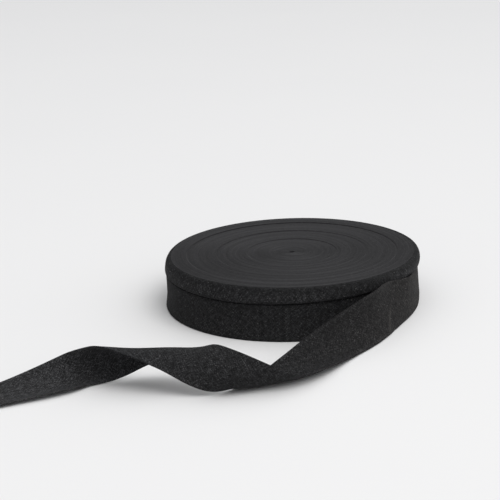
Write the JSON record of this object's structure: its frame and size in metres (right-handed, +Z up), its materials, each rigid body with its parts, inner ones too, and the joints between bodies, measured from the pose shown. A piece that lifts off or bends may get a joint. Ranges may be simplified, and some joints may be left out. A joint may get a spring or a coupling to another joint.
{
  "type": "roll of bias tape",
  "caption": "Flat coil of black cotton bias tape lying on its side, its loose end drawn out in front with a full twist.",
  "frame": {"origin": "centre of the coil's flat underside, where it rests", "axes": "+Z up out of the coil's top along its winding axis, +X to the right and +Y away as the picture looks at it; the loose end runs towards -Y and -X"},
  "size_m": [0.263, 0.2441, 0.0295],
  "materials": {
    "roll_cloth": "matt woven cotton",
    "loose_end_cloth": "matt woven cotton"
  },
  "bodies": {
    "root": {"wound_roll": "roll_cloth", "loose_end": "loose_end_cloth"}
  },
  "joints": []
}
